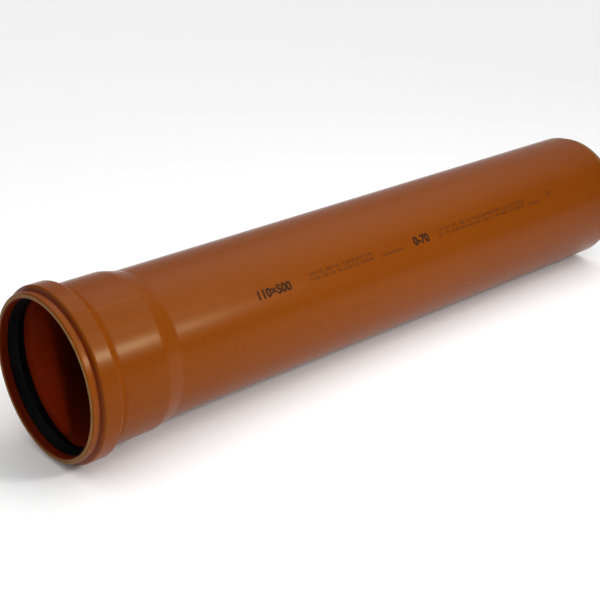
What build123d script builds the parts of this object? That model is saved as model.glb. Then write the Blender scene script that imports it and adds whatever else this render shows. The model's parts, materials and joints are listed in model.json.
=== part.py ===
"""A 110 mm sewer pipe of solid PVC-U, half a metre of laying length, with its formed socket and seal ring.

The pipe lies on the floor as it would unheld. Its seal bead is wider than its barrel, so the axis leans
down a little towards the spigot end. X runs along the pipe from the socket's mouth to the spigot, Z is up,
and the origin is on the floor under the middle of the pipe. Lengths are in millimetres.
"""

import os
from math import atan2, cos, sin

from build123d import *

# Barrel and spigot end
pipe_diameter = 110.0
pipe_wall = 3.2
laying_length = 500.0
chamfer_length = 7.0
chamfer_wall_share = 0.6
end_edge_round = 0.4

# Socket, formed on the end of the same tube
socket_depth = 70.0
socket_clearance = 0.2
socket_wall = 3.0
shoulder_length = 13.2
shoulder_round = 14.0

# Lip in front of the seal groove
lip_length = 6.2
lip_clearance = 0.5
lip_wall = 4.1
mouth_round = 0.9

# Seal groove inside, and the bead that it raises outside
groove_depth = 4.9
groove_front_run = 2.2
groove_floor_length = 11.2
groove_back_run = 4.8
groove_round = 0.8
bead_wall = 2.9
bead_front_step = 0.95
bead_back_step = 0.6
bead_crease_round = 0.7
bead_front_round = 1.8
bead_back_round = 2.5

# Rubber seal ring, with one lip that a pushed-in spigot spreads
seal_clearance = 0.2
seal_squeeze = 2.2
seal_lip_reach = 9.2
seal_lip_land = 3.0
seal_lip_thickness = 2.4
seal_web = 3.2
seal_channel = 1.3
seal_heel_thickness = 2.0
seal_round = 0.6
seal_channel_round = 0.4

# Radii that follow from these
pipe_radius = pipe_diameter / 2
bore_radius = pipe_radius - pipe_wall
spigot_tip_radius = pipe_radius - pipe_wall * chamfer_wall_share
socket_bore_radius = pipe_radius + socket_clearance
socket_radius = socket_bore_radius + socket_wall
lip_bore_radius = pipe_radius + lip_clearance
lip_radius = lip_bore_radius + lip_wall
groove_radius = socket_bore_radius + groove_depth
bead_radius = groove_radius + bead_wall

# Distances from the mouth along the axis
total_length = laying_length + socket_depth
chamfer_start = total_length - chamfer_length
groove_front = lip_length
groove_floor_start = groove_front + groove_front_run
groove_floor_end = groove_floor_start + groove_floor_length
groove_back = groove_floor_end + groove_back_run
bead_front = groove_front - bead_front_step
bead_crest_start = groove_floor_start - bead_front_step
bead_crest_end = groove_floor_end + bead_back_step
bead_back = groove_back + bead_back_step

# A spigot stops on the shoulder with its tip at the socket's full depth
stop_share = (socket_bore_radius - spigot_tip_radius) / (socket_bore_radius - bore_radius)
shoulder_start = socket_depth - shoulder_length * stop_share
shoulder_end = shoulder_start + shoulder_length

# Rest pose: the bead's crest and the edge of the spigot's chamfer touch the floor
lean = atan2(bead_radius - pipe_radius, chamfer_start - bead_crest_end)
axis_direction = Vector(cos(lean), 0, -sin(lean))
mouth_height = bead_radius * cos(lean) + bead_crest_end * sin(lean)
mouth_center = Vector(-total_length * cos(lean) / 2, 0, mouth_height)

# In the section plane X is the distance from the mouth and Y the distance from the axis
section_plane = Plane(origin=mouth_center, x_dir=axis_direction, z_dir=(0, -1, 0))
pipe_axis = Axis(mouth_center, axis_direction)

# Pipe: barrel, socket and bead are one extruded tube. Each corner has its own rounding
outside = [
    (0, lip_radius),
    (bead_front, lip_radius),
    (bead_crest_start, bead_radius),
    (bead_crest_end, bead_radius),
    (bead_back, socket_radius),
    (shoulder_start, socket_radius),
    (shoulder_end, pipe_radius),
    (chamfer_start, pipe_radius),
    (total_length, spigot_tip_radius),
]
outside_rounds = [
    mouth_round,
    bead_crease_round,
    bead_front_round,
    bead_back_round,
    bead_back_round,
    shoulder_round,
    shoulder_round,
    0,
    end_edge_round,
]
inside = [
    (total_length, bore_radius),
    (shoulder_end, bore_radius),
    (shoulder_start, socket_bore_radius),
    (groove_back, socket_bore_radius),
    (groove_floor_end, groove_radius),
    (groove_floor_start, groove_radius),
    (groove_front, lip_bore_radius),
    (0, lip_bore_radius),
]
inside_rounds = [
    end_edge_round,
    shoulder_round,
    shoulder_round,
    groove_round,
    groove_round,
    groove_round,
    groove_round,
    mouth_round,
]

with BuildPart() as pipe:
    with BuildSketch(section_plane):
        with BuildLine():
            FilletPolyline(*outside, *inside, radius=outside_rounds + inside_rounds, close=True)
        make_face()
    revolve(axis=pipe_axis)
pipe.part.label = "pipe"

# Seal ring: a heel that lies in the groove, and a lip that leans inward to meet the spigot
front_slope = groove_front_run / (groove_radius - lip_bore_radius)
back_slope = groove_back_run / groove_depth
seal_radius = groove_radius - seal_clearance
heel_radius = seal_radius - seal_heel_thickness
channel_radius = heel_radius - seal_channel
nose_radius = lip_bore_radius
seal_lip_radius = pipe_radius - seal_squeeze
seal_front_top = groove_floor_start + seal_clearance
seal_back_top = groove_floor_end - seal_clearance
seal_nose = seal_front_top - (seal_radius - nose_radius) * front_slope
seal_root = seal_nose + seal_web
seal_lip_end = seal_nose + seal_lip_reach
seal_lip_start = seal_lip_end - seal_lip_land
seal_heel = seal_back_top + seal_heel_thickness * back_slope - seal_clearance

seal_section = [
    (seal_front_top, seal_radius),
    (seal_nose, nose_radius),
    (seal_lip_start, seal_lip_radius),
    (seal_lip_end, seal_lip_radius),
    (seal_lip_end, seal_lip_radius + seal_lip_thickness),
    (seal_root, channel_radius),
    (seal_root, heel_radius),
    (seal_heel, heel_radius),
    (seal_back_top, seal_radius),
]
seal_rounds = [
    seal_round,
    seal_round,
    seal_round,
    seal_round,
    seal_round,
    seal_channel_round,
    seal_channel_round,
    seal_round,
    seal_round,
]

with BuildPart() as seal_ring:
    with BuildSketch(section_plane):
        with BuildLine():
            FilletPolyline(*seal_section, radius=seal_rounds, close=True)
        make_face()
    revolve(axis=pipe_axis)
seal_ring.part.label = "seal_ring"

os.makedirs("parts", exist_ok=True)
for piece in (pipe, seal_ring):
    export_step(piece.part, f"parts/{piece.part.label}.step")
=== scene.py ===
"""The looks of a 110 mm sewer pipe of orange-brown PVC-U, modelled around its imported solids.

The tube and its rubber ring are drawn as half sections and spun about the pipe's axis. Both are modelled in
the pipe's own coordinates, with X the run from the socket's mouth, and then placed along the leaning axis.
The printed sizes are typed, and pressed onto the barrel. Lengths are in metres and angles in radians.
"""

import json
from math import asin, ceil, cos, pi, radians, sin, tan

import bmesh
import bpy
from mathutils import Euler, Matrix, Vector


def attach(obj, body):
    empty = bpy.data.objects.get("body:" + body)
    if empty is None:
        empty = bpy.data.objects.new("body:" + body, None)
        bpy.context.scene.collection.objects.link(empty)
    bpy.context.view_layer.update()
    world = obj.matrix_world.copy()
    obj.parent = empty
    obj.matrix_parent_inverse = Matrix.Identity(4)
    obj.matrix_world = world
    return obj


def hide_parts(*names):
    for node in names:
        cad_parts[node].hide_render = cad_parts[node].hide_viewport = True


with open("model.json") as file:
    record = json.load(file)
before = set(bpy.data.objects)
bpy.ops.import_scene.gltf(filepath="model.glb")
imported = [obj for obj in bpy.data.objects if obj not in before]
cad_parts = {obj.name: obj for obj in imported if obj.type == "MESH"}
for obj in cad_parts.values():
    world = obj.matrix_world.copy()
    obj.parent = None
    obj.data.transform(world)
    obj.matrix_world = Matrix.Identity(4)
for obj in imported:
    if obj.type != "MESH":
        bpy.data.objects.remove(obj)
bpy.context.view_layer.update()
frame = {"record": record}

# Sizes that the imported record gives
millimetre = 0.001
mounts = {mount["name"]: mount for mount in frame["record"]["mounts"]}
pipe_radius = mounts["spigot"]["dims"]["r_mm"] * millimetre
bore_radius = mounts["flow_bore"]["dims"]["r_mm"] * millimetre
lip_bore_radius = mounts["socket_mouth"]["dims"]["r_mm"] * millimetre
seal_lip_radius = mounts["socket_seal"]["dims"]["r_mm"] * millimetre
axis_direction = Vector(mounts["spigot"]["axis"]).normalized()
axis_point = Vector(mounts["spigot"]["pos_m"])

# Tube, as in the solids, but for a softer rounding of the mouth's rim
total_length = 0.570
chamfer_length = 0.007
spigot_tip_radius = 0.05308
end_edge_round = 0.0004
socket_bore_radius = 0.0552
socket_radius = 0.0582
shoulder_start = 0.061769
shoulder_end = 0.074969
shoulder_round = 0.014
lip_radius = 0.0596
mouth_round = 0.0014
groove_radius = 0.0601
groove_front = 0.0062
groove_floor_start = 0.0084
groove_floor_end = 0.0196
groove_back = 0.0244
groove_round = 0.0008
bead_radius = 0.063
bead_front = 0.00525
bead_crest_start = 0.00745
bead_crest_end = 0.0202
bead_back = 0.025
bead_crease_round = 0.0007
bead_front_round = 0.0018
bead_back_round = 0.0025
chamfer_start = total_length - chamfer_length

# How squarely a face at the mouth looks along the axis where the saw left it, as a cosine
sawn_face_cosine = 0.92

# Rings that the turning tool leaves on the chamfer
turned_ring_count = 9
turned_ring_depth = 0.00005

# Line that the two halves of the socket's mould leave, on both sides
mould_line_angle = radians(63)
mould_line_half_width = 0.0009
mould_line_height = 0.00035

# Rubber ring, as in the solids
seal_front_top = (0.0086, 0.0599)
seal_nose = (0.0065, lip_bore_radius)
seal_lip_start = (0.0127, seal_lip_radius)
seal_lip_end = (0.0157, seal_lip_radius)
seal_lip_back = (0.0157, 0.0552)
seal_root_inside = (0.0097, 0.0566)
seal_root_outside = (0.0097, 0.0579)
seal_heel = (0.02116, 0.0579)
seal_back_top = (0.0194, 0.0599)
seal_round = 0.0006
seal_channel_round = 0.0004
seal_groove_shares = (0.22, 0.42, 0.62)
seal_groove_half_width = 0.0003
seal_groove_depth = 0.00025

# How finely round shapes are divided
arc_step = radians(8)
half_turn_steps = 127
seal_turn_steps = 192
longest_run = 0.012
merge_distance = 0.000002
touching = 0.000001
smooth_angle = radians(35)

# Printed size marks on the barrel, each typed off the barrel and cut into rows before it is pressed on
print_angle = radians(36)
print_start_radius = pipe_radius * 1.05
print_rows_below = 2
print_lift = 0.00001
print_thickness = 0.00006
print_cut_spacing = 0.0009

# Place of the pipe: its lean, and the middle of its mouth
lean = asin(-axis_direction.z)
mouth_x = -total_length * cos(lean) / 2
mouth_center = axis_point + axis_direction * ((mouth_x - axis_point.x) / axis_direction.x)
mould_roll = pi / 2 - mould_line_angle
pipe_turn = Euler((mould_roll, lean, 0))


# Modelling by hand

def select_where(piece, test):
    """Select in edit mode the vertices that pass the test, with the edges and faces between them."""
    mesh = bmesh.from_edit_mesh(piece.data)
    mesh.normal_update()
    for vertex in mesh.verts:
        vertex.select_set(test(vertex))
    mesh.select_flush_mode()
    bmesh.update_edit_mesh(piece.data)


def select_faces_where(piece, test):
    """Select in edit mode the faces that pass the test."""
    mesh = bmesh.from_edit_mesh(piece.data)
    mesh.normal_update()
    for face in mesh.faces:
        face.select_set(test(face))
    bmesh.update_edit_mesh(piece.data)


def section_point(corner):
    run, radius = corner
    return Vector((run, 0, radius))


def draw_section(name, corners):
    """Draw a half section as a closed chain of edges, and stay in edit mode."""
    points = [section_point(corner) for corner in corners]
    bpy.ops.object.select_all(action="DESELECT")
    bpy.ops.mesh.primitive_plane_add()
    section = bpy.context.object
    section.name = name
    bpy.ops.object.mode_set(mode="EDIT")
    bpy.ops.mesh.select_mode(type="VERT")
    bpy.ops.mesh.select_all(action="SELECT")
    bpy.ops.mesh.merge(type="CENTER")
    bpy.ops.transform.translate(value=points[0])
    for here, there in zip(points, points[1:]):
        bpy.ops.mesh.extrude_region_move(TRANSFORM_OT_translate={"value": there - here})
    ends = (points[0], points[-1])
    select_where(section, lambda vertex: min((vertex.co - end).length for end in ends) < touching)
    bpy.ops.mesh.edge_face_add()
    return section


def round_corners(section, corners, rounds):
    """Round each corner of the section with its own radius."""
    points = [section_point(corner) for corner in corners]
    for index, radius in enumerate(rounds):
        if radius == 0:
            continue
        corner = points[index]
        after = points[(index + 1) % len(points)]
        turn = (corner - points[index - 1]).angle(after - corner)
        select_where(section, lambda vertex: (vertex.co - corner).length < touching)
        bpy.ops.mesh.bevel(offset=radius * tan(turn / 2), segments=ceil(turn / arc_step), affect="VERTICES")


def divide_long_runs(section):
    """Divide the long straight edges of the section into even steps."""
    mesh = bmesh.from_edit_mesh(section.data)
    runs = [[vertex.co.copy() for vertex in edge.verts] for edge in mesh.edges]
    for ends in runs:
        cuts = ceil((ends[1] - ends[0]).length / longest_run) - 1
        if cuts > 0:
            select_where(section, lambda vertex: min((vertex.co - end).length for end in ends) < touching)
            bpy.ops.mesh.subdivide(number_cuts=cuts)


def spin_section(section, arcs):
    """Spin the section about the axis, through arcs of (angle, steps) that add up to a full turn."""
    bpy.ops.mesh.select_all(action="SELECT")
    for angle, steps in arcs:
        bpy.ops.mesh.spin(steps=steps, angle=angle, center=(0, 0, 0), axis=(1, 0, 0))
    bpy.ops.mesh.select_all(action="SELECT")
    bpy.ops.mesh.remove_doubles(threshold=merge_distance)
    bpy.ops.mesh.normals_make_consistent(inside=False)


def place_on_axis(piece):
    """Move the finished piece from its own coordinates to the leaning axis, with its place in its mesh."""
    bpy.ops.object.mode_set(mode="OBJECT")
    piece.location = mouth_center
    piece.rotation_euler = pipe_turn
    bpy.ops.object.transform_apply(location=True, rotation=True, scale=True)


def smooth_faces(piece):
    """Shade the piece smooth, with the large faces deciding how light falls across the small roundings."""
    bpy.ops.object.shade_smooth_by_angle(angle=smooth_angle)
    piece.modifiers.new("even_shading", "WEIGHTED_NORMAL")
    bpy.ops.object.modifier_apply(modifier="even_shading")


def give_finish(piece, finish, test=None):
    """Put a finish on the piece, or on the faces that pass the test."""
    piece.data.materials.append(finish)
    if test is None:
        return
    select_faces_where(piece, test)
    piece.active_material_index = len(piece.data.materials) - 1
    bpy.ops.object.material_slot_assign()


# Finishes

def new_finish(name):
    finish = bpy.data.materials.new(name)
    finish.use_nodes = True
    tree = finish.node_tree
    return finish, tree, tree.nodes["Principled BSDF"]


def pipe_place(tree):
    """A point's place in the pipe's own coordinates, the same on every piece."""
    place = tree.nodes.new("ShaderNodeTexCoord")
    turn = tree.nodes.new("ShaderNodeMapping")
    turn.vector_type = "TEXTURE"
    turn.inputs["Location"].default_value = mouth_center
    turn.inputs["Rotation"].default_value = pipe_turn
    tree.links.new(place.outputs["Object"], turn.inputs["Vector"])
    return turn.outputs["Vector"]


def noise(tree, place, along, across, detail=3.0, roughness=0.55):
    """Noise with so many patches in a metre along the pipe and across it."""
    stretch = tree.nodes.new("ShaderNodeMapping")
    stretch.inputs["Scale"].default_value = (along, across, across)
    tree.links.new(place, stretch.inputs["Vector"])
    texture = tree.nodes.new("ShaderNodeTexNoise")
    texture.inputs["Scale"].default_value = 1.0
    texture.inputs["Detail"].default_value = detail
    texture.inputs["Roughness"].default_value = roughness
    tree.links.new(stretch.outputs["Vector"], texture.inputs["Vector"])
    return texture.outputs["Fac"]


def spread(tree, value, low, high, to_low=0.0, to_high=1.0):
    """Carry the range from low to high over to another range, and hold it at the ends."""
    node = tree.nodes.new("ShaderNodeMapRange")
    node.inputs["From Min"].default_value = low
    node.inputs["From Max"].default_value = high
    node.inputs["To Min"].default_value = to_low
    node.inputs["To Max"].default_value = to_high
    tree.links.new(value, node.inputs["Value"])
    return node.outputs["Result"]


def combine(tree, operation, first, second):
    """Join two values by a sum, a product or the like."""
    node = tree.nodes.new("ShaderNodeMath")
    node.operation = operation
    for socket, value in zip(node.inputs, (first, second)):
        if isinstance(value, float):
            socket.default_value = value
        else:
            tree.links.new(value, socket)
    return node.outputs["Value"]


def tint(tree, share, under, over):
    """Lay one colour over another, by a share from 0 to 1."""
    node = tree.nodes.new("ShaderNodeMix")
    node.data_type = "RGBA"
    tree.links.new(share, node.inputs["Factor"])
    for name, colour in (("A_Color", under), ("B_Color", over)):
        socket = next(socket for socket in node.inputs if socket.identifier == name)
        if isinstance(colour, tuple):
            socket.default_value = (*colour, 1.0)
        else:
            tree.links.new(colour, socket)
    return next(socket for socket in node.outputs if socket.identifier == "Result_Color")


def relief(tree, shader, layers):
    """Raise the surface by layers of (height value, height in metres), one on another."""
    normal = None
    for height, distance in layers:
        bump = tree.nodes.new("ShaderNodeBump")
        bump.inputs["Strength"].default_value = 1.0
        bump.inputs["Distance"].default_value = distance
        tree.links.new(height, bump.inputs["Height"])
        if normal is not None:
            tree.links.new(normal, bump.inputs["Normal"])
        normal = bump.outputs["Normal"]
    tree.links.new(normal, shader.inputs["Normal"])


pvc_colour = (0.181, 0.0400, 0.0026)
pvc_pale = (0.190, 0.0430, 0.0030)
pvc_deep = (0.174, 0.0380, 0.0024)
# Inside of the tube: the same PVC painted darker and redder, as painted shade
shaded_bore_colour = (0.115, 0.0110, 0.0018)
shaded_bore_pale = (0.121, 0.0123, 0.0021)
shaded_bore_deep = (0.110, 0.0102, 0.0016)
# Pale colour of the scuffs, also used for the painted highlight along the mould line
scuff_and_seam_highlight_colour = (0.24, 0.080, 0.018)
# Dark red painted shade for the crease before the bead
crease_shade_colour = (0.085, 0.0050, 0.0008)
pvc_specular = 0.095
bore_specular = 0.04
pvc_reflection = (1.0, 0.84, 0.46, 1.0)

# Heights of the skin's fine relief
streak_height = 0.0000025
fine_streak_height = 0.0000008
pvc_grain_height = 0.000003
scuff_height = 0.000003

# How much of the scuffs, the painted shade in the crease and the painted highlight along the mould line
# shows on the outside
scuff_share = 0.22
crease_shade_share = 0.75
seam_highlight_share = 0.22
scuff_dullness = 0.22

# Ring of painted shade in the crease before the bead, and how it fades out at its two sides
crease_shade_width = 0.0006
crease_shade_front = bead_front
crease_shade_front_fade = 0.0012
crease_shade_back = crease_shade_front + crease_shade_width
crease_shade_back_fade = 0.0014

# Painted highlight along the mould line's ridge: half its width, with and without its soft edge
seam_highlight_core = 0.0005
seam_highlight_edge = 0.0014

# Slope behind the bead, where handling doesn't polish the skin, and how its dullness fades out
dull_slope_half_fade = 0.0005
dull_slope_past_bead = 0.0010
dull_slope_fade = 0.0020
dull_slope_start = bead_crest_end - dull_slope_half_fade
dull_slope_full = bead_crest_end + dull_slope_half_fade
dull_slope_last = bead_back + dull_slope_past_bead
dull_slope_end = dull_slope_last + dull_slope_fade
dull_slope_shine = 0.1

# Cut edges, with so many radians of the turning tool's rings to a metre
cut_colour = (0.165, 0.080, 0.020)
cut_pale = (0.210, 0.108, 0.030)
cut_shade = (0.150, 0.062, 0.014)
cut_shade_share = 0.5
cut_ring_rate = 21000.0
cut_ring_height = 0.000012
cut_chatter_height = 0.00002

# Rubber
rubber_colour = (0.0010, 0.0010, 0.0010)
rubber_bloom = (0.0028, 0.0028, 0.0029)
rubber_dust = (0.05, 0.049, 0.047)
rubber_dust_share = 0.15
rubber_specular = 0.05
rubber_bloom_height = 0.00004
rubber_grain_height = 0.00001

# Inks: where laid on well, where laid on thinly, and how much is worn off
heavy_ink_colour = (0.018, 0.0070, 0.0040)
heavy_ink_thin = (0.044, 0.0140, 0.0050)
heavy_ink_worn = 0.5
light_ink_colour = (0.074, 0.0180, 0.0034)
light_ink_thin = (0.112, 0.0270, 0.0040)
light_ink_worn = 0.6
ink_wear_height = 0.000006


def pvc_skin_finish(name, colour, pale, deep, specular, scuffing, crease_shading, seam_highlighting):
    """Extruded PVC: streaks along the tube, a soft mottle, fine grain, handling marks, painted shade in the
    crease before the bead and a painted highlight along the mould line.
    """
    finish, tree, shader = new_finish(name)
    place = pipe_place(tree)
    streaks = noise(tree, place, along=1.1, across=240.0, detail=5.0, roughness=0.6)
    fine_streaks = noise(tree, place, along=3.0, across=1100.0, detail=3.0)
    mottle = noise(tree, place, along=9.0, across=22.0, detail=3.0)
    grain = noise(tree, place, along=1800.0, across=2600.0, detail=2.0)
    patches = spread(tree, noise(tree, place, along=7.0, across=16.0, detail=2.0), 0.50, 0.68)
    scratch_lines = spread(tree, noise(tree, place, along=28.0, across=950.0, detail=2.0), 0.66, 0.74)
    rub_lines = spread(tree, noise(tree, place, along=1100.0, across=38.0, detail=2.0), 0.69, 0.76)
    scuffs = combine(tree, "MULTIPLY", combine(tree, "MAXIMUM", scratch_lines, rub_lines), patches)

    mottled = tint(tree, spread(tree, mottle, 0.35, 0.70), deep, colour)
    streaked = tint(tree, spread(tree, streaks, 0.40, 0.75, 0.0, 0.40), mottled, pale)
    scuffed = tint(tree, combine(tree, "MULTIPLY", scuffs, scuffing), streaked, scuff_and_seam_highlight_colour)

    # Painted shade in the crease before the bead, and a painted highlight along the mould line
    parts = tree.nodes.new("ShaderNodeSeparateXYZ")
    tree.links.new(place, parts.inputs["Vector"])
    run = parts.outputs["X"]
    crease_shade_mask = combine(tree, "MULTIPLY",
                     spread(tree, run, crease_shade_front - crease_shade_front_fade, crease_shade_front),
                     spread(tree, run, crease_shade_back + crease_shade_back_fade, crease_shade_back))
    crease_shaded = tint(tree, combine(tree, "MULTIPLY", crease_shade_mask, crease_shading), scuffed, crease_shade_colour)
    from_line = combine(tree, "ABSOLUTE", parts.outputs["Y"], 0.0)
    on_socket = combine(tree, "MULTIPLY",
                        spread(tree, run, bead_crest_end, bead_back),
                        spread(tree, run, shoulder_end, shoulder_start))
    seam_highlight_mask = combine(tree, "MULTIPLY", on_socket, spread(tree, from_line, seam_highlight_edge, seam_highlight_core))
    seam_highlighted = tint(tree, combine(tree, "MULTIPLY", seam_highlight_mask, seam_highlighting), crease_shaded, scuff_and_seam_highlight_colour)
    tree.links.new(seam_highlighted, shader.inputs["Base Color"])

    gloss = spread(tree, combine(tree, "ADD", streaks, mottle), 0.7, 1.35, 0.23, 0.28)
    dulled = combine(tree, "ADD", gloss, combine(tree, "MULTIPLY", scuffs, scuff_dullness))
    tree.links.new(dulled, shader.inputs["Roughness"])
    bead_slope = combine(tree, "MULTIPLY",
                         spread(tree, run, dull_slope_start, dull_slope_full),
                         spread(tree, run, dull_slope_end, dull_slope_last))
    shine = spread(tree, bead_slope, 0.0, 1.0, specular, specular * dull_slope_shine)
    tree.links.new(shine, shader.inputs["Specular IOR Level"])
    shader.inputs["Specular Tint"].default_value = pvc_reflection
    relief(tree, shader, [
        (streaks, streak_height),
        (fine_streaks, fine_streak_height),
        (grain, pvc_grain_height),
        (scuffs, scuff_height),
    ])
    return finish


def pvc_cut_finish():
    """Sawn and turned PVC: paler and duller than the skin, with fine rings about the axis."""
    finish, tree, shader = new_finish("pvc_cut")
    place = pipe_place(tree)
    parts = tree.nodes.new("ShaderNodeSeparateXYZ")
    tree.links.new(place, parts.inputs["Vector"])
    across = combine(tree, "ADD",
                     combine(tree, "POWER", parts.outputs["Y"], 2.0),
                     combine(tree, "POWER", parts.outputs["Z"], 2.0))
    radius = combine(tree, "POWER", across, 0.5)
    turning = combine(tree, "SINE", combine(tree, "MULTIPLY", radius, cut_ring_rate), 0.0)
    rings = spread(tree, turning, -1.0, 1.0)
    chatter = noise(tree, place, along=500.0, across=160.0, detail=4.0)
    smears = noise(tree, place, along=90.0, across=60.0, detail=4.0)
    smeared = tint(tree, spread(tree, smears, 0.35, 0.70), cut_colour, cut_pale)
    ring_share = combine(tree, "MULTIPLY", combine(tree, "MULTIPLY", rings, chatter), cut_shade_share)
    shaded = tint(tree, ring_share, smeared, cut_shade)
    tree.links.new(shaded, shader.inputs["Base Color"])
    tree.links.new(spread(tree, chatter, 0.3, 0.7, 0.42, 0.60), shader.inputs["Roughness"])
    shader.inputs["Specular IOR Level"].default_value = pvc_specular
    shader.inputs["Specular Tint"].default_value = pvc_reflection
    relief(tree, shader, [(rings, cut_ring_height), (chatter, cut_chatter_height)])
    return finish


def seal_rubber_finish():
    """Black rubber: satin, a little uneven, with pale dust from the mould in places."""
    finish, tree, shader = new_finish("seal_rubber_black")
    place = pipe_place(tree)
    bloom = noise(tree, place, along=60.0, across=45.0, detail=4.0)
    specks = spread(tree, noise(tree, place, along=2200.0, across=2200.0, detail=1.0), 0.70, 0.80)
    grain = noise(tree, place, along=3000.0, across=3000.0, detail=2.0)
    bloomed = tint(tree, spread(tree, bloom, 0.45, 0.75), rubber_colour, rubber_bloom)
    dusted = tint(tree, combine(tree, "MULTIPLY", specks, rubber_dust_share), bloomed, rubber_dust)
    tree.links.new(dusted, shader.inputs["Base Color"])
    tree.links.new(spread(tree, bloom, 0.3, 0.7, 0.42, 0.58), shader.inputs["Roughness"])
    shader.inputs["Specular IOR Level"].default_value = rubber_specular
    relief(tree, shader, [(bloom, rubber_bloom_height), (grain, rubber_grain_height)])
    return finish


def print_ink_finish(name, ink, thin_ink, worn_share):
    """Ink that the roller laid unevenly, so that the pipe shows through it in places."""
    finish, tree, shader = new_finish(name)
    place = pipe_place(tree)
    worn = spread(tree, noise(tree, place, along=1500.0, across=1500.0, detail=3.0), 0.55, 0.68)
    fading = noise(tree, place, along=18.0, across=40.0, detail=2.0)
    inked = tint(tree, spread(tree, fading, 0.35, 0.70), ink, thin_ink)
    worn_ink = tint(tree, combine(tree, "MULTIPLY", worn, worn_share), inked, pvc_colour)
    tree.links.new(worn_ink, shader.inputs["Base Color"])
    tree.links.new(spread(tree, fading, 0.3, 0.7, 0.40, 0.52), shader.inputs["Roughness"])
    shader.inputs["Specular IOR Level"].default_value = pvc_specular
    shader.inputs["Specular Tint"].default_value = pvc_reflection
    relief(tree, shader, [(worn, ink_wear_height)])
    return finish


# Pieces

def turned_chamfer():
    """Corners along the spigot's chamfer, with a shallow ring at each step of the turning tool."""
    corners = [(chamfer_start, pipe_radius)]
    for ring in range(turned_ring_count):
        for place_share, depth in ((0.35, 0.0), (0.5, turned_ring_depth), (0.65, 0.0)):
            share = (ring + place_share) / turned_ring_count
            radius = pipe_radius + (spigot_tip_radius - pipe_radius) * share
            corners.append((chamfer_start + chamfer_length * share, radius - depth))
    corners.append((total_length, spigot_tip_radius))
    return corners


def inward(face):
    """How far a face of the spun tube looks towards the axis, from -1 to 1."""
    middle = face.calc_center_median()
    return -face.normal.dot(Vector((0, middle.y, middle.z)).normalized())


def pipe_tube():
    """The tube: lip, bead, socket, shoulder, barrel and chamfered spigot, one piece of PVC."""
    chamfer = turned_chamfer()
    corners = [
        (0, lip_radius),
        (bead_front, lip_radius),
        (bead_crest_start, bead_radius),
        (bead_crest_end, bead_radius),
        (bead_back, socket_radius),
        (shoulder_start, socket_radius),
        (shoulder_end, pipe_radius),
        *chamfer,
        (total_length, bore_radius),
        (shoulder_end, bore_radius),
        (shoulder_start, socket_bore_radius),
        (groove_back, socket_bore_radius),
        (groove_floor_end, groove_radius),
        (groove_floor_start, groove_radius),
        (groove_front, lip_bore_radius),
        (0, lip_bore_radius),
    ]
    rounds = [
        mouth_round,
        bead_crease_round,
        bead_front_round,
        bead_back_round,
        bead_back_round,
        shoulder_round,
        shoulder_round,
        *(0 for corner in chamfer[:-1]),
        end_edge_round,
        end_edge_round,
        shoulder_round,
        shoulder_round,
        groove_round,
        groove_round,
        groove_round,
        groove_round,
        mouth_round,
    ]
    tube = draw_section("pipe_tube", corners)
    round_corners(tube, corners, rounds)
    divide_long_runs(tube)

    # Narrow steps on both sides of the two mould lines, and even steps between them
    line_angle = mould_line_half_width / socket_radius
    half_turn = [(line_angle, 1), (pi - 2 * line_angle, half_turn_steps), (line_angle, 1)]
    spin_section(tube, half_turn * 2)
    for side in (1, -1):
        outward = Vector((0, 0, side))
        select_where(tube, lambda vertex: (
            bead_front < vertex.co.x < shoulder_end
            and abs(vertex.co.y) < touching
            and vertex.co.z * side > 0
            and vertex.normal.dot(outward) > 0
        ))
        bpy.ops.transform.translate(value=outward * mould_line_height)

    skin = pvc_skin_finish("pvc_skin", pvc_colour, pvc_pale, pvc_deep, pvc_specular,
                           scuff_share, crease_shade_share, seam_highlight_share)
    # The tube's inside gets the PVC painted darker and redder, a painted shade
    bore = pvc_skin_finish("pvc_bore_painted_shade", shaded_bore_colour, shaded_bore_pale, shaded_bore_deep, bore_specular, 0.0, 0.0, 0.0)
    give_finish(tube, skin)
    give_finish(tube, bore, lambda face: (
        inward(face) > 0 and 0 < face.calc_center_median().x < total_length
    ))
    give_finish(tube, pvc_cut_finish(), lambda face: (
        face.calc_center_median().x < mouth_round and face.normal.x < -sawn_face_cosine
        or face.calc_center_median().x > chamfer_start and face.normal.x > 0
    ))
    place_on_axis(tube)
    smooth_faces(tube)
    return tube


def rubber_ring():
    """The lip seal, with shallow grooves in the face of its lip."""
    nose, lip = section_point(seal_nose), section_point(seal_lip_start)
    slope = lip - nose
    into_rubber = Vector((slope.z, 0, -slope.x)).normalized() * -seal_groove_depth
    half_width = slope.normalized() * seal_groove_half_width
    grooves = []
    for share in seal_groove_shares:
        middle = nose + slope * share
        for place in (middle - half_width, middle + into_rubber, middle + half_width):
            grooves.append((place.x, place.z))
    corners = [
        seal_front_top,
        seal_nose,
        *grooves,
        seal_lip_start,
        seal_lip_end,
        seal_lip_back,
        seal_root_inside,
        seal_root_outside,
        seal_heel,
        seal_back_top,
    ]
    rounds = [
        seal_round,
        seal_round,
        *(0 for corner in grooves),
        seal_round,
        seal_round,
        seal_round,
        seal_channel_round,
        seal_channel_round,
        seal_round,
        seal_round,
    ]
    ring = draw_section("rubber_ring", corners)
    round_corners(ring, corners, rounds)
    spin_section(ring, [(2 * pi, seal_turn_steps)])
    give_finish(ring, seal_rubber_finish())
    place_on_axis(ring)
    smooth_faces(ring)
    return ring


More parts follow.
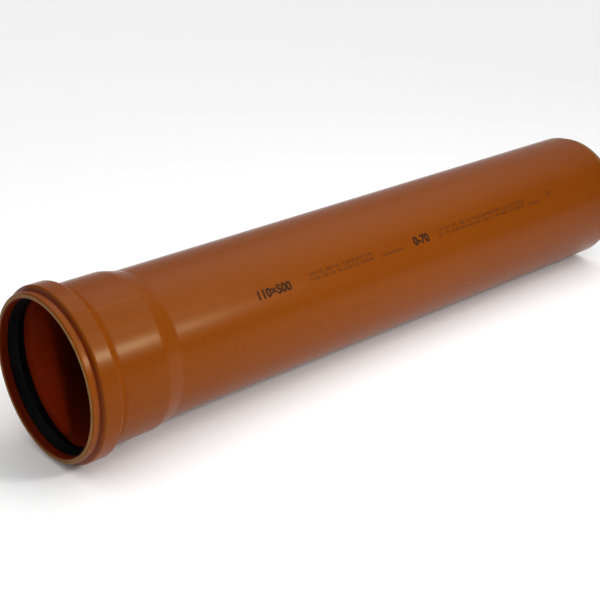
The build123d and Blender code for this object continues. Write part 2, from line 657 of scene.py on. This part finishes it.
# What is printed, with its run, its height above the middle of the line, its letter height and its weight
heavy_marks = [
    ("110×500", 0.148, -0.0032, 0.0090, 0.00040),
    ("0-70", 0.3085, -0.0032, 0.0095, 0.00045),
]
light_marks = [
    ("110 × 3.2   500 + 70   10 20 30 40 50 60 70", 0.199, 0.0009, 0.0036, 0.00012),
    ("0 - 70   110   3.2   0 5 10 15 20 25 30 35 40", 0.199, -0.0030, 0.0036, 0.00012),
    ("0 10 20 30 40 50 60 70", 0.2715, -0.0030, 0.0026, 0.00012),
    ("110 × 3.2 × 570   500 + 70   0 10 20 30 40 50 60 70   110   3.2   0 5 10 15",
     0.337, 0.0009, 0.0036, 0.00012),
    ("3.2   110   0 100 200 300 400 500   110 × 3.2   70 + 500   0 10 20 30 40",
     0.337, -0.0030, 0.0036, 0.00012),
    ("0 10 20 30 40", 0.449, -0.0030, 0.0026, 0.00012),
    ("70", 0.474, -0.0016, 0.0075, 0.00010),
]


def printed_mark(tube, finish, body, run, rise, height, weight):
    """Type one mark, cut it into narrow rows, press it onto the barrel and give the ink its thickness."""
    bpy.ops.object.select_all(action="DESELECT")
    bpy.ops.object.text_add()
    mark = bpy.context.object
    mark.data.body = body
    mark.data.size = height
    mark.data.offset = weight
    bpy.ops.object.convert(target="MESH")
    mark = bpy.context.object
    bpy.ops.object.mode_set(mode="EDIT")
    for row in range(-print_rows_below, ceil(height / print_cut_spacing)):
        bpy.ops.mesh.select_all(action="SELECT")
        bpy.ops.mesh.bisect(plane_co=(0, row * print_cut_spacing, 0), plane_no=(0, 1, 0))
    bpy.ops.mesh.select_all(action="SELECT")
    bpy.ops.mesh.remove_doubles(threshold=merge_distance)
    bpy.ops.object.mode_set(mode="OBJECT")

    # The mark stands just off the barrel, with its own Z axis pointing away from the pipe's axis
    lying = Matrix.Rotation(lean, 4, "Y") @ Matrix.Rotation(pi / 2 - print_angle, 4, "X")
    start = lying @ Vector((run, rise, print_start_radius))
    mark.matrix_world = Matrix.Translation(mouth_center + start) @ lying
    bpy.context.view_layer.update()
    press = mark.modifiers.new("press", "SHRINKWRAP")
    press.target = tube
    press.wrap_method = "PROJECT"
    press.use_project_z = True
    press.use_negative_direction = True
    press.use_positive_direction = False
    press.wrap_mode = "ABOVE_SURFACE"
    press.offset = print_lift
    bpy.ops.object.modifier_apply(modifier="press")
    ink = mark.modifiers.new("ink", "SOLIDIFY")
    ink.thickness = print_thickness
    ink.offset = 0
    bpy.ops.object.modifier_apply(modifier="ink")
    bpy.ops.object.transform_apply(location=True, rotation=True, scale=True)
    mark.data.materials.clear()
    give_finish(mark, finish)
    return mark


def size_print(tube):
    """All the printed marks as one piece of ink."""
    heavy_ink = print_ink_finish("heavy_ink", heavy_ink_colour, heavy_ink_thin, heavy_ink_worn)
    light_ink = print_ink_finish("light_ink", light_ink_colour, light_ink_thin, light_ink_worn)
    marks = [printed_mark(tube, heavy_ink, *mark) for mark in heavy_marks]
    marks += [printed_mark(tube, light_ink, *mark) for mark in light_marks]
    bpy.ops.object.select_all(action="DESELECT")
    for mark in marks:
        mark.select_set(True)
    bpy.context.view_layer.objects.active = marks[0]
    bpy.ops.object.join()
    ink = bpy.context.object
    ink.name = "size_print"
    return ink


tube = pipe_tube()
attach(tube, "root")
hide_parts("pipe")

ring = rubber_ring()
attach(ring, "root")
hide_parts("seal_ring")

ink = size_print(tube)
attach(ink, "root")


# Studio

floor_size = 30

# Places that softboxes face: on the axis at the bead and in the barrel, and on the socket's inner wall
lit_barrel_run = 0.265
lit_wall_run = 0.031
lit_wall_from_axis = Vector((0, 0.048, -0.026))
bead_middle = mouth_center + axis_direction * (bead_crest_start + bead_crest_end) / 2
barrel_near = mouth_center + axis_direction * lit_barrel_run
inside_wall = mouth_center + axis_direction * lit_wall_run + lit_wall_from_axis

# Softboxes: the point each faces, its direction and distance from there, width, height, power and beam
softboxes = [
    ("key_light", barrel_near, (0.05, -0.75, 0.65), 0.48, 0.34, 0.34, 0.90, pi),
    ("fill_light", mouth_center, (-0.33, -0.94, 0.15), 0.8, 0.10, 0.10, 0.38, pi),
    ("mouth_light", inside_wall, (-0.355, -0.88, 0.29), 0.6, 0.02, 0.08, 0.0031, radians(4.5)),
    ("glint_light", bead_middle, (0.470, -0.72, 0.470), 1.4, 0.20, 0.20, 1.74, radians(90)),
]

# Strength of the sky's soft panels
straight_up_strength = 1.08
high_left_strength = 1.30
high_right_strength = 2.50
back_left_strength = 0.73
back_right_strength = 0.50

# Camera: its place, how far it looks down, how far it looks to the left of the pipe's run, and its lens
camera_place = (-0.647444, -0.655181, 0.457893)
camera_down = radians(24.7735)
camera_turn = radians(47.8891)
camera_lens = 74.9055
camera_sensor = 36
camera_nearest = 0.01


def pale_floor():
    """A wide pale floor under the pipe."""
    bpy.ops.object.select_all(action="DESELECT")
    bpy.ops.mesh.primitive_plane_add(size=floor_size)
    floor = bpy.context.object
    floor.name = "floor"
    finish, tree, shader = new_finish("pale_floor")
    shader.inputs["Base Color"].default_value = (0.96, 0.96, 0.96, 1)
    shader.inputs["Roughness"].default_value = 0.9
    shader.inputs["Specular IOR Level"].default_value = 0.1
    shader.inputs["Emission Color"].default_value = (1, 1, 1, 1)
    shader.inputs["Emission Strength"].default_value = 0.03
    floor.data.materials.append(finish)


def soft_light(name, aim, direction, distance, width, height, power, beam):
    """A softbox that stands off in a direction and faces the point it lights."""
    away = Vector(direction).normalized()
    bpy.ops.object.light_add(type="AREA", location=aim + away * distance)
    light = bpy.context.object
    light.name = name
    light.rotation_euler = away.to_track_quat("Z", "Y").to_euler()
    light.data.shape = "RECTANGLE"
    light.data.size = width
    light.data.size_y = height
    light.data.energy = power
    light.data.spread = beam


def studio_sky():
    """Soft light from overhead, most of it high on the right, and a little from behind on both sides."""
    world = bpy.data.worlds.new("studio")
    world.use_nodes = True
    tree = world.node_tree
    direction = tree.nodes.new("ShaderNodeTexCoord")
    parts = tree.nodes.new("ShaderNodeSeparateXYZ")
    tree.links.new(direction.outputs["Generated"], parts.inputs["Vector"])
    right = parts.outputs["X"]
    behind = parts.outputs["Y"]
    up = parts.outputs["Z"]
    overhead = spread(tree, up, 0.55, 0.80)
    above_floor = combine(tree, "MULTIPLY", spread(tree, up, -0.02, 0.02), spread(tree, up, 0.75, 0.50))
    backdrop = combine(tree, "MULTIPLY", above_floor, spread(tree, behind, 0.0, 0.3))
    panels = [
        (overhead, spread(tree, combine(tree, "ABSOLUTE", right, 0.0), 0.45, 0.15), straight_up_strength),
        (overhead, spread(tree, right, -0.15, -0.45), high_left_strength),
        (overhead, spread(tree, right, 0.15, 0.45), high_right_strength),
        (backdrop, spread(tree, right, -0.2, -0.5), back_left_strength),
        (backdrop, spread(tree, right, 0.2, 0.5), back_right_strength),
    ]
    strength = None
    for height, side, power in panels:
        panel = combine(tree, "MULTIPLY", combine(tree, "MULTIPLY", height, side), power)
        strength = panel if strength is None else combine(tree, "ADD", strength, panel)
    tree.links.new(strength, tree.nodes["Background"].inputs["Strength"])
    tree.nodes["Background"].inputs["Color"].default_value = (1, 1, 1, 1)
    bpy.context.scene.world = world


def studio_camera():
    """The camera at the photograph's viewing angle."""
    bpy.ops.object.camera_add(location=camera_place)
    camera = bpy.context.object
    camera.rotation_euler = (pi / 2 - camera_down, 0, camera_turn - pi / 2)
    camera.data.lens = camera_lens
    camera.data.sensor_width = camera_sensor
    camera.data.clip_start = camera_nearest
    bpy.context.scene.camera = camera


pale_floor()
studio_sky()
for softbox in softboxes:
    soft_light(*softbox)
bpy.context.scene.view_settings.view_transform = "Standard"
studio_camera()
